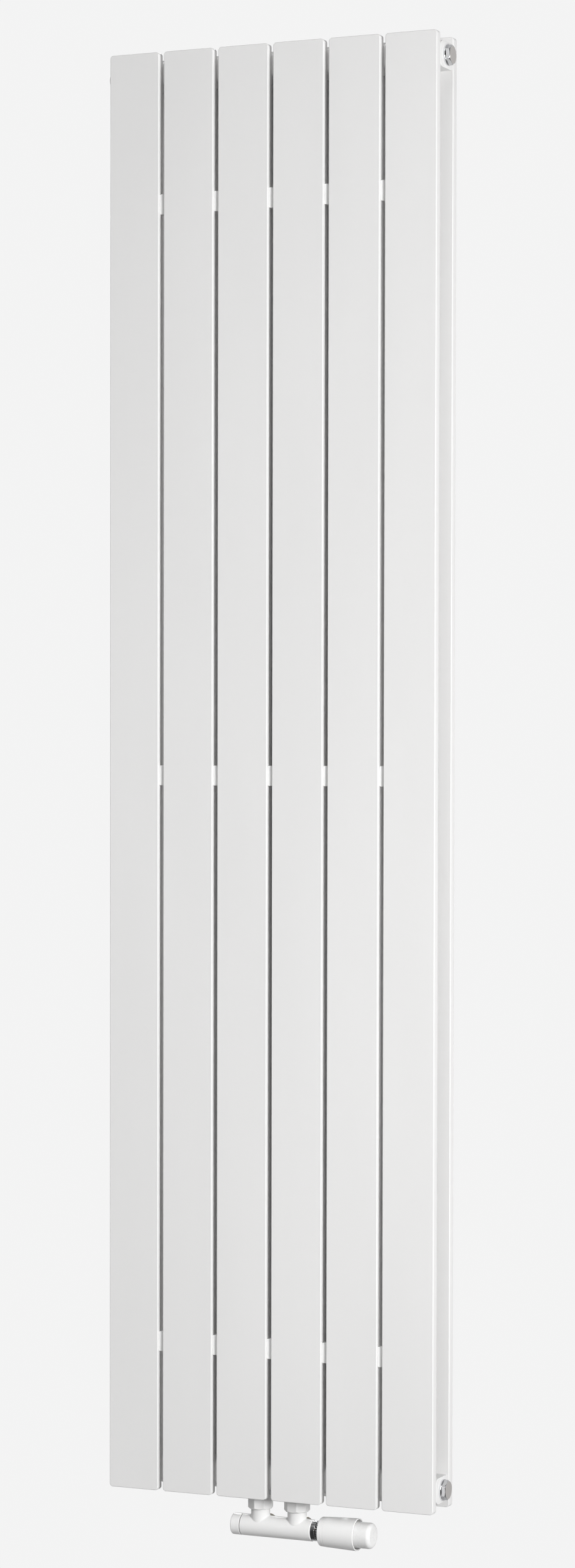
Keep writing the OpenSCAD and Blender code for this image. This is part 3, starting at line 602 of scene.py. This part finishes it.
barrel_run = soften([[stub_bore_end, pin_hole], [stub_bore_end, stub_bore], [stub_left, stub_bore],
                     [stub_left, stub_r], [barrel_left, stub_r], [barrel_left, barrel_r],
                     [barrel_right, barrel_r], [barrel_right, insert_bore],
                     [barrel_right - insert_depth, insert_bore], [barrel_right - insert_depth, pin_hole]],
                    [0, 0.0002, 0.0005, 0.0003, 0.0004, 0.0009, 0.0003, 0, 0])
body_skins = [spun(barrel_run, axis_at, sides=128)]
branch_shown = 0.004
branch_rows = soften([[branch_top, pin_hole], [branch_top, branch_r], [branch_top - branch_shown, branch_r]],
                     [0.0006])
outlet_y = boss_y - axis_y
outlet_end = outlet_y + outlet_thread
outlet_bore_end = outlet_end - 0.010
gallery_start, gallery_end, gallery_r = 0.006, 0.0135, 0.00495
gallery_back = 0.0134
thread_rows = thread(outlet_end - 0.0006, outlet_y + 0.0004, thread_r, thread_depth)
outlet_rows = np.concatenate([np.broadcast_to(part, (len(part), 96, 2)) for part in (
    soften([[outlet_bore_end, pin_hole], [outlet_bore_end, outlet_bore_r], [outlet_end, outlet_bore_r],
            [outlet_end, thread_r - 0.0009], [outlet_end - 0.0005, thread_r - 0.0003]], [0, 0.0003, 0.0002]),
    thread_rows,
    soften([[outlet_y, thread_r - 0.0006], [outlet_y, branch_r], [outlet_y - 0.0005, branch_r]], [0.0004]))])
for side in (-1, 1):
    at = np.array([side * branch_x, axis_y, axis_z])
    body_skins.append(skin(saddle(branch_rows) + at))
    body_skins.append(skin(saddle(outlet_rows)[..., [0, 2, 1]] * [1, 1, -1] + at))
    gallery_run = [[side * gallery_start, pin_hole], [side * gallery_start, gallery_r],
                   [side * gallery_end, gallery_r], [side * gallery_end, pin_hole]]
    body_skins.append(spun(soften(gallery_run, [0.001, 0.0003]), (0, axis_y + gallery_back, axis_z), sides=48))
piece("valve_casting", body_skins, enamel, "radiator", ["valve_body"])


# ---------- unions ----------
# Threaded stubs under the lower collector, chrome pipe tails pressed into the branches, and the two
# eight-sided white nuts that draw them together over fibre gaskets.

nipple_low, nipple_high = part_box("connection_nipples")
nipple_r = 0.0132
stub_bore_r = 0.007
stub_rows = np.concatenate([np.broadcast_to(part, (len(part), 96, 2)) for part in (
    columns((0.0, stub_bore_r), (0.0, nipple_r - 0.0009)),
    thread(0.0004, nipple_high.z - nipple_low.z - 0.0006, nipple_r, thread_depth),
    columns((nipple_high.z - nipple_low.z, nipple_r), (nipple_high.z - nipple_low.z, stub_bore_r)))])
piece("collector_stubs", [spun(stub_rows, (side * branch_x, axis_y, nipple_low.z), "z", loop=True)
                          for side in (-1, 1)], zinc_plate, "radiator", ["connection_nipples"])

chrome_plate = Finish("chrome_plate", metallic=1.0)
chrome_plate.set(
    base_color=chrome_plate.colours(chrome_plate.noise(0.01), (0.80, 0.805, 0.82), (0.76, 0.765, 0.78)),
    roughness=0.05 + 0.06 * chrome_plate.noise(0.0005, (1, 30, 30)),
    normal=chrome_plate.relief(chrome_plate.noise(0.004), 0.000006))

nut_flats = 0.030
nut_low, nut_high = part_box("flow_union_nut")
nut_h = nut_high.z - nut_low.z
nut_face_r = nut_flats / 2 - 0.0008
nut_lip_r = 0.0104
nut_lip = 0.004
nut_edge = 0.0006
for name, node, body, side, turn in (("flow_nut", "flow_union_nut", "flow_nut", 1, -3.0),
                                     ("return_nut", "return_union_nut", "return_nut", -1, 17.0)):
    angle, octagon = many_sided(8, nut_flats, nut_edge, radians(turn))
    cut = octagon - nut_face_r
    nut_run = columns((nut_lip / 2, nut_lip_r), (0, nut_lip_r), (0, nut_face_r), (cut, octagon),
                      (nut_h - cut, octagon), (nut_h, nut_face_r), (nut_h, nipple_r + 0.0002),
                      (nut_lip, nipple_r + 0.0002), (nut_lip, nut_lip_r))
    nut_run = soften(nut_run, [0.0003, 0.0003, 0.0003, 0.0003, 0.0003, 0.0004, 0, 0])
    piece(name, [spun(nut_run, (side * branch_x, axis_y, nut_low.z), "z", angles=angle, loop=True)],
          enamel, body, [node])


# ---------- lockshield cap ----------
# Turned white cap over the lockshield stub, with a lightly rounded closed end. A fine joint shows
# between it and the barrel.

cap_low, cap_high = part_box("lockshield_cap")
cap_bore_r = 0.0104
cap_bore_end = -0.0567
cover_run = [[cap_low.x, pin_hole], [cap_low.x, barrel_r], [cap_high.x, barrel_r], [cap_high.x, cap_bore_r],
             [cap_bore_end, cap_bore_r], [cap_bore_end, pin_hole]]
piece("lockshield_cover",
      [spun(soften(cover_run, [0.0013, 0.0004, 0.0003, 0.0003], 8), axis_at, sides=128)],
      enamel, "lockshield_cap", ["lockshield_cap"])


# ---------- collar and head nut ----------
# Polished chrome ring on the insert's neck, and beside it the fluted chrome nut that clamps the head.

ring_low, ring_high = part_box("insert_collar")
ring_r = (ring_high.y - ring_low.y) / 2
seam = 0.001
ring_run = [[ring_low.x + seam, insert_bore], [ring_low.x, insert_bore], [ring_low.x, ring_r],
            [ring_high.x, ring_r], [ring_high.x, insert_bore], [ring_high.x - seam, insert_bore]]
piece("chrome_collar",
      [spun(soften(ring_run, [0.0002, 0.0004, 0.0007, 0.0002]), axis_at, loop=True, sides=128)],
      chrome_plate, "radiator", ["insert_collar"])

grip_low, grip_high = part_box("head_nut")
grip_r = (grip_high.z - grip_low.z) / 2
flutes = 24
flute_depth = 0.00053
grip_angle = np.linspace(0, 2 * pi, flutes * 10, endpoint=False)
grip = grip_r - flute_depth * (0.5 + 0.5 * np.cos(flutes * grip_angle)) ** 2.5
grip_edge = 0.0008
bore_r = 0.0094
grip_run = columns((grip_low.x + seam, bore_r), (grip_low.x, bore_r), (grip_low.x, grip_r - grip_edge),
                   (grip_low.x + grip_edge, grip), (grip_high.x - grip_edge, grip),
                   (grip_high.x, grip_r - grip_edge), (grip_high.x, bore_r), (grip_high.x - seam, bore_r))
piece("head_clamp_nut", [spun(soften(grip_run, [0.0002, 0.0003, 0.0003, 0.0003, 0.0003, 0.0002], 3),
                              axis_at, angles=grip_angle, loop=True)],
      chrome_plate, "clamp_nut", ["head_nut"])


# ---------- handwheel ----------
# Moulded gloss-white sleeve: a rounded shoulder with two fine turned lines, a slightly widening barrel
# and a thin open rim. The round cap stands inside the rim with an open ring between them.

head_plastic = Finish("head_gloss_plastic", specular_ior_level=0.45)
head_plastic.set(
    base_color=head_plastic.colours(head_plastic.noise(0.03), (0.90, 0.898, 0.892), (0.88, 0.878, 0.872)),
    roughness=0.3 + 0.06 * head_plastic.noise(0.01),
    normal=head_plastic.relief(head_plastic.noise(0.012) + 0.2 * head_plastic.noise(0.0012), 0.00003))
wheel_low, wheel_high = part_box("head_sleeve")
shoulder_r = 0.0182
rim_r = (wheel_high.y - wheel_low.y) / 2
rim_wall = 0.0015
rim_depth = 0.009
cap_r = (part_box("head_cap")[1].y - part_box("head_cap")[0].y) / 2
hub_r, hub_bore_r, hub_end = 0.0142, 0.0124, 0.0691
line_w = 0.0004
line_depth = 0.0003
line_rise = 0.00015
wheel_back = 0.0024
sleeve_run = [[wheel_low.x + seam, hub_bore_r], [wheel_low.x, hub_bore_r], [wheel_low.x, shoulder_r]]
for line_at, line_r in ((0.0045, shoulder_r + 0.0001), (0.0075, shoulder_r + 0.0003)):
    x = wheel_low.x + line_at
    sleeve_run += [[x, line_r], [x + line_w / 2, line_r - line_depth], [x + line_w, line_r + line_rise]]
sleeve_run += [[wheel_high.x, rim_r], [wheel_high.x, rim_r - rim_wall],
               [wheel_high.x - rim_depth, rim_r - rim_wall - 0.0004], [wheel_high.x - rim_depth, cap_r],
               [wheel_low.x + wheel_back, cap_r], [wheel_low.x + wheel_back, hub_r], [hub_end, hub_r],
               [hub_end, hub_bore_r]]
sleeve_radii = [0.0003, 0.0012, 0.0001, 0.0001, 0.0001, 0.0001, 0.0001, 0.0001, 0.0005, 0.0005, 0.0006,
                0.0002, 0, 0, 0, 0]
piece("handwheel_sleeve", [spun(soften(sleeve_run, sleeve_radii), axis_at, loop=True, sides=160)],
      head_plastic, "handwheel", ["head_sleeve"])

cap_plastic = Finish("cap_satin_plastic", specular_ior_level=0.45)
cap_plastic.set(
    base_color=cap_plastic.colours(cap_plastic.noise(0.02), (0.855, 0.855, 0.85), (0.84, 0.84, 0.834)),
    roughness=0.24 + 0.08 * cap_plastic.noise(0.006),
    normal=cap_plastic.relief(cap_plastic.noise(0.008) + 0.3 * cap_plastic.noise(0.001), 0.00001))
cap_low, cap_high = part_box("head_cap")
cap_corner = 0.005
cap_inside = cap_high.x - 0.008
cap_inner_r = cap_r - 0.0016
cap_outer_r = cap_r - 0.00005
cap_run = [[cap_inside, pin_hole], [cap_inside, cap_inner_r], [cap_low.x, cap_inner_r],
           [cap_low.x, cap_outer_r], [cap_high.x, cap_outer_r], [cap_high.x, pin_hole]]
piece("handwheel_cap",
      [spun(soften(cap_run, [0, 0.0003, 0.0003, cap_corner], 10), axis_at, sides=160)],
      cap_plastic, "handwheel", ["head_cap"])


# ---------- working parts inside ----------
# The brass insert and spindles, stainless pin, springs, sensor and seals keep the shapes they are
# turned, wound or moulded in, each in its own metal, rubber or plastic.

stainless = Finish("ground_stainless", metallic=1.0)
stainless.set(base_color=stainless.colours(stainless.noise(0.005), (0.62, 0.62, 0.63), (0.55, 0.55, 0.56)),
              roughness=0.18 + 0.12 * stainless.noise(0.0004, (1, 30, 30)),
              normal=stainless.relief(stainless.noise(0.0005, (1, 20, 20)), 0.00001))
spring_wire = Finish("spring_wire", metallic=1.0)
spring_wire.set(
    base_color=spring_wire.colours(spring_wire.noise(0.003), (0.36, 0.36, 0.38), (0.46, 0.46, 0.47)),
    roughness=0.28 + 0.15 * spring_wire.noise(0.001),
    normal=spring_wire.relief(spring_wire.noise(0.0008), 0.00001))
inner_finishes = {
    turned_brass: ["lockshield_spindle", "valve_insert", "sensor_cartridge"],
    stainless: ["valve_pin"],
    spring_wire: ["pin_spring", "overtravel_spring", "wheel_clip"],
    seal_rubber: ["plug_seals", "union_gaskets", "lockshield_seal", "insert_seal", "valve_disc", "pin_seal"],
    zinc_plate: ["flow_baffle"],
    chrome_plate: ["union_tails"],
    spacer_plastic: ["head_base", "pusher"],
}
for finish, names in inner_finishes.items():
    for name in names:
        mesh = frame["nodes"][name].data
        mesh.materials.clear()
        mesh.materials.append(finish.material)


# ---------- studio ----------
# Plain pale floor and surround. The camera sees them flat and pale; the object is lit and mirrored by a
# dim room. Large soft lamps stand at the right front, the right and behind, and a hazy window above.

pale = 0.90
floor_grey = 0.35
floor_size = 60.0
floor_drop = 0.04
bpy.ops.mesh.primitive_plane_add(size=floor_size, location=(0, 0, cad_box[0][2] - floor_drop))
floor = bpy.context.object
floor.name = "studio_floor"
floor.visible_glossy = False
floor_material = bpy.data.materials.new("studio_floor")
floor_material.use_nodes = True
ground = Nodes(floor_material.node_tree)
ground.tree.nodes.clear()
plain = ground.add("ShaderNodeBsdfDiffuse", None, {"Color": (floor_grey, floor_grey, floor_grey, 1)})
glow = ground.add("ShaderNodeEmission", None, {"Color": (pale, pale, pale, 1), "Strength": 1.0})
seen = ground.add("ShaderNodeLightPath", out="Is Camera Ray")
shown = ground.add("ShaderNodeMixShader", None, {0: seen, 1: plain, 2: glow})
ground.put(ground.tree.nodes.new("ShaderNodeOutputMaterial").inputs["Surface"], shown)
floor.data.materials.append(floor_material)

world = bpy.data.worlds.new("studio")
bpy.context.scene.world = world
world.use_nodes = True
sky = Nodes(world.node_tree)
sky.tree.nodes.clear()
toward = sky.add("ShaderNodeTexCoord", out="Generated")


def side_of(letter, sign):
    """How far a direction points towards one side: 1 straight at it, 0 at right angles and beyond."""
    part = sky.add("ShaderNodeSeparateXYZ", None, {0: toward}, out=letter)
    return sky.add("ShaderNodeMath", {"operation": "MAXIMUM"}, {0: part * sign, 1: 0.0})


open_left = side_of("X", -1)
fill = 0.05 + 1.1 * open_left * open_left + 0.12 * side_of("Z", 1)
mirrored = 0.02 + 0.16 * side_of("Z", 1) + 0.05 * open_left + 0.6 * side_of("Y", 1)
glossy = sky.add("ShaderNodeLightPath", out="Is Glossy Ray")
room = fill + glossy * (mirrored - fill)
dim = sky.add("ShaderNodeBackground", None, {"Color": (1, 1, 1, 1), "Strength": room})
bright = sky.add("ShaderNodeBackground", None, {"Color": (pale, pale, pale, 1), "Strength": 1.0})
seen = sky.add("ShaderNodeLightPath", out="Is Camera Ray")
shown = sky.add("ShaderNodeMixShader", None, {0: seen, 1: dim, 2: bright})
sky.put(sky.tree.nodes.new("ShaderNodeOutputWorld").inputs["Surface"], shown)


def lamp(name, power, azimuth, height, distance, size, turn=0):
    """Square soft light that faces the origin from an azimuth, measured from the front towards the
    right, a height in degrees and a distance, and is then turned about the upright."""
    light = bpy.data.lights.new(name, "AREA")
    light.energy, light.size = power, size
    made = bpy.data.objects.new(name, light)
    made.rotation_euler = (radians(90 - height), 0, radians(azimuth + turn))
    level, round_to = cos(radians(height)), radians(azimuth)
    made.location = distance * np.array([level * sin(round_to), -level * cos(round_to), sin(radians(height))])
    made.visible_camera = False
    bpy.context.scene.collection.objects.link(made)


lamp("key", power=166, azimuth=52, height=1, distance=3.4, size=1.2, turn=50)
lamp("side_fill", power=14, azimuth=88, height=5, distance=3.5, size=1.5)
lamp("back_fill", power=105, azimuth=215, height=30, distance=3.5, size=1.5)

haze = bpy.data.lights.new("window", "SUN")
haze.energy, haze.angle = 0.6, radians(22)
window = bpy.data.objects.new("window", haze)
window_height, window_azimuth = 48, 8
window.rotation_euler = (radians(90 - window_height), 0, radians(window_azimuth))
bpy.context.scene.collection.objects.link(window)


# ---------- camera ----------
# Long lens at eye level with the middle of the radiator, about 4.7 m away and 24 degrees to its right.

camera = bpy.data.objects.new("camera", bpy.data.cameras.new("camera"))
bpy.context.scene.collection.objects.link(camera)
bpy.context.scene.camera = camera
camera.location = (1.8913, -4.2997, 0.0296)
camera.rotation_euler = (radians(88.317), radians(-0.103), radians(24.007))
camera.data.lens = 85.61
camera.data.shift_x = 0.0018
camera.data.shift_y = 0.0494
bpy.context.scene.view_settings.view_transform = "Standard"
